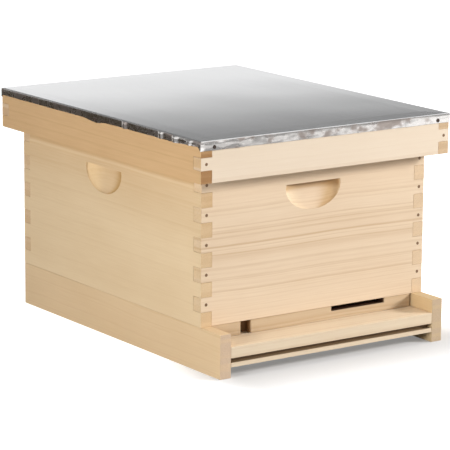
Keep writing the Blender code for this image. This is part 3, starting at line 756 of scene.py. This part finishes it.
SHEET = 0.35 * MM  # thickness of the sheet
ROLL = 1.4 * MM  # outer radius of its folded edges
GRID_STEP = 3.0 * MM  # between the top's vertices, about
ROLL_STEPS, DROP_STEPS = 4, 8  # rows of faces round the folded edge, and down the flange
TOP_WAVE = 0.2 * MM  # height of the top's waves
TOP_CROWN = 0.15 * MM  # how much the top rises inside its edge
CALM_EDGE = 30 * MM  # the part of the top, inside its edge, over which both start
SIDE_TRIM = 3.2 * MM  # how much less the side flanges hang, away from their middle nail
SCALLOP = 20 * MM  # half width of the lower part round that nail
END_TRIM = 2.6 * MM  # how much less the side flanges hang at their front end
END_REACH = 45 * MM  # of that, along the flange
HEM_WAVE = 0.4 * MM  # of the flange's cut edge
CRINKLE_START = 4 * MM  # below the top, from where the flange is fully crinkled
WORKED_REACH = 75 * MM  # of the deepest crinkle, round the front left corner
BULGE_REACH = 50 * MM  # of the left flange's bulge at that corner
# Dents that stand out of the left flange: (place along Y, height) in mm, and how far each reaches along it
SIDE_DENTS = ((-82.0, 2.4), (-180.0, 2.0), (-218.0, 2.8), (-256.0, 2.2))
DENT_REACH = 4.5


def lid_top(bm, centre, inner, top):
    """Adds the nearly flat top as a grid. Returns the vertices of its outline, in order."""
    counts = (round(2 * inner.x / GRID_STEP), round(2 * inner.y / GRID_STEP))
    grid = []
    for i in range(counts[0] + 1):
        row = []
        for j in range(counts[1] + 1):
            x = -inner.x + 2 * inner.x * i / counts[0]
            y = -inner.y + 2 * inner.y * j / counts[1]
            edge = min(inner.x - abs(x), inner.y - abs(y))
            calm = min(edge / CALM_EDGE, 1.0)
            wave = noise.noise(Vector((x * 7.0, y * 7.0, 3.3))) * TOP_WAVE
            row.append(bm.verts.new((centre.x + x, centre.y + y, top + (wave + TOP_CROWN) * calm)))
        grid.append(row)
    for i in range(counts[0]):
        for j in range(counts[1]):
            bm.faces.new((grid[i][j], grid[i + 1][j], grid[i + 1][j + 1], grid[i][j + 1]))
    outline = [grid[i][0] for i in range(counts[0] + 1)]
    outline += [grid[-1][j] for j in range(1, counts[1] + 1)]
    outline += [grid[i][-1] for i in range(counts[0] - 1, -1, -1)]
    outline += [grid[0][j] for j in range(counts[1] - 1, 0, -1)]
    return outline


def flange_row(bm, outline, k, centre, inner, top, front_depth):
    """Adds row k of the vertices below the outline: first round the folded edge, then down the flange."""
    row = []
    for vert in outline:
        x, y = vert.co.x - centre.x, vert.co.y - centre.y
        at_x, at_y = abs(abs(x) - inner.x) < 1e-6, abs(abs(y) - inner.y) < 1e-6
        depth = front_depth
        if at_x and not at_y:
            depth -= SIDE_TRIM * (1 - math.exp(-(y / SCALLOP) ** 2))
            depth -= END_TRIM * math.exp(-((y + inner.y) / END_REACH) ** 2)
        out, down = ROLL, ROLL + (depth - ROLL) * (k - ROLL_STEPS) / DROP_STEPS
        if k <= ROLL_STEPS:
            angle = math.pi / 2 * k / ROLL_STEPS
            out, down = ROLL * math.sin(angle), ROLL * (1 - math.cos(angle))
        out += crinkle(x, y, down, inner) * min(down / CRINKLE_START, 1.0)
        hem = HEM_WAVE * noise.noise(Vector((x * 30.0, y * 30.0, 9.0))) * max(k - ROLL_STEPS, 0) / DROP_STEPS
        out_x, out_y = math.copysign(at_x, x) * out, math.copysign(at_y, y) * out
        row.append(bm.verts.new((vert.co.x + out_x, vert.co.y + out_y, top - down - hem)))
    return row


def lid_metal(material):
    """The sheet over the cover: a nearly flat top, a folded edge, and a flange crinkled by hand folding."""
    low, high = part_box("cover_metal")
    centre = (low + high) / 2
    top = high[Z]
    inner = Vector((high[X] - low[X], high[Y] - low[Y])) / 2 - Vector((ROLL, ROLL))
    bm = bmesh.new()
    rows = [lid_top(bm, centre, inner, top)]
    for k in range(1, ROLL_STEPS + DROP_STEPS + 1):
        rows.append(flange_row(bm, rows[0], k, centre, inner, top, top - low[Z]))
    total = len(rows[0])
    for upper, lower in zip(rows[:-1], rows[1:]):
        for i in range(total):
            j = (i + 1) % total
            bm.faces.new((upper[i], lower[i], lower[j], upper[j]))
    for face in bm.faces:
        face.smooth = True
    bmesh.ops.recalc_face_normals(bm, faces=bm.faces)
    obj = piece("lid_metal", bm, material, "outer_cover")
    shell = obj.modifiers.new("sheet", "SOLIDIFY")
    shell.thickness = SHEET
    shell.offset = -1.0
    obj.modifiers.new("smooth", "NODES").node_group = SMOOTH
    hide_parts("cover_metal")


def crinkle(x, y, down, half):
    """How far the flange stands out from hand folding, which is deepest at the front left corner.

    x and y are from the lid's middle, down is from its top, and half is half its size. The sum is in mm.
    """
    corner = math.hypot(x + half.x, 0.6 * (y + half.y))
    worked = 0.1 + 1.4 * math.exp(-(corner / WORKED_REACH) ** 2)
    at_front, at_left = y < -0.99 * half.y, x < -0.99 * half.x
    if at_front:
        worked += 0.6
    ripple = noise.noise(Vector((x * 90.0, y * 90.0, down * 50.0)))
    dent = noise.noise(Vector((x * 36.0, y * 36.0, down * 110.0 + 7.0)))
    out = 0.2 + worked * (0.45 * abs(ripple) + 0.9 * abs(dent))
    if at_left:
        out += (1.2 + 2.0 * abs(ripple)) * math.exp(-(corner / BULGE_REACH) ** 2)
        for place, height in SIDE_DENTS:
            out += height * math.exp(-((y / MM - place) / DENT_REACH) ** 2)
    return out * MM


# ---------------------------------------------------------------- wax foundation


CELL = 5.2 * MM  # across the flats of a worker cell
CELL_RELIEF = 0.6 * MM  # of a cell's floor, above or below the sheet's middle
SHEET_WAX = 0.5 * MM  # thickness of the sheet


def pressed_wax(half_y, half_z):
    """A sheet of foundation: the three-sided cell floors of both faces share one rippled layer of wax.

    Every third point of a triangular grid is the bottom of a cell on one face, and every other third is the
    bottom of a cell on the other face.
    """
    columns, rows = round(2 * half_y * math.sqrt(3) / CELL), round(4 * half_z / CELL)
    pitch, rise = 2 * half_y / columns, 2 * half_z / rows
    bm = bmesh.new()
    grid = []
    for row in range(rows + 1):
        line = []
        for column in range(columns + 1):
            y = -half_y + pitch * (column + 0.5 * (row % 2))
            level = (column - row // 2 - row) % 3 - 1
            line.append(bm.verts.new((level * CELL_RELIEF, min(y, half_y), -half_z + rise * row)))
        grid.append(line)
    for row in range(rows):
        below, above = grid[row], grid[row + 1]
        for i in range(columns):
            if row % 2:
                bm.faces.new((below[i], above[i + 1], above[i]))
                bm.faces.new((below[i], below[i + 1], above[i + 1]))
            else:
                bm.faces.new((below[i], below[i + 1], above[i]))
                bm.faces.new((below[i + 1], above[i + 1], above[i]))
    bmesh.ops.recalc_face_normals(bm, faces=bm.faces)
    return bm


def foundation_sheets(material):
    """Ten alike sheets on one mesh, each in its frame."""
    low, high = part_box("frame_01_foundation")
    half = (high - low) / 2
    for index in range(1, 11):
        name, body = f"wax_sheet_{index:02d}", f"frame_{index:02d}"
        if index == 1:
            obj = piece(name, pressed_wax(half[Y], half[Z]), material, body)
            mesh = obj.data
        else:
            obj = bpy.data.objects.new(name, mesh)
            bpy.context.scene.collection.objects.link(obj)
            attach(obj, body)
        obj.location = middle(f"{body}_foundation")
        shell = obj.modifiers.new("thickness", "SOLIDIFY")
        shell.thickness = SHEET_WAX
        shell.offset = 0.0
        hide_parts(f"{body}_foundation")


# ---------------------------------------------------------------- nails


BODY_FINGERS = 11
BODY_NAIL_FINGERS = (1, 3, 5, 7, 9)  # the front and back boards' fingers; finger 0 is the lowest
NAIL_INSET = 9.5 * MM  # from the ends of the front and back boards
BODY_NAIL_RADIUS = 2.5 * MM
COVER_NAIL_RADIUS = 2.4 * MM
COVER_NAIL_RISE = 28.5 * MM  # above the lower edge of the cover's rim


def finger_nails(material):
    """Nail heads in the box joints, one through each of the front and back boards' fingers."""
    low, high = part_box("body_front")
    finger = (high[Z] - low[Z]) / BODY_FINGERS
    body_rises = [(k + 0.5) * finger for k in BODY_NAIL_FINGERS]
    for prefix, body, rises, radius in (
        ("body", "hive_body", body_rises, BODY_NAIL_RADIUS),
        ("cover_rim", "outer_cover", [COVER_NAIL_RISE], COVER_NAIL_RADIUS),
    ):
        low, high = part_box(f"{prefix}_front")
        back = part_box(f"{prefix}_back")[1][Y]
        places = []
        for rise in rises:
            z = low[Z] + rise
            for x in (low[X] + NAIL_INSET, high[X] - NAIL_INSET):
                places.append(((x, low[Y], z), (0, -1, 0)))
                places.append(((x, back, z), (0, 1, 0)))
        nail_heads(f"{prefix}_nails", body, places, radius, material)


make_camera()
make_studio()
dress_body()
dress_bottom_board()
dress_covers()
dress_frames()
foundation_sheets(wax())
flange_nail_steel = nail_metal("flange_nail_steel", linear(84, 70, 62), linear(50, 40, 36))
for node_name, node_object in NODES.items():
    if node_name.startswith("cover_nail"):
        set_material(node_name, flange_nail_steel)
        ease(node_object, 0.1 * MM, 1)
    elif not node_name.endswith("foundation") and node_name != "cover_metal":
        ease(node_object)
lid_metal(sheet_metal())
finger_nails(nail_metal("finger_nail_steel", linear(150, 120, 92), linear(104, 76, 54)))
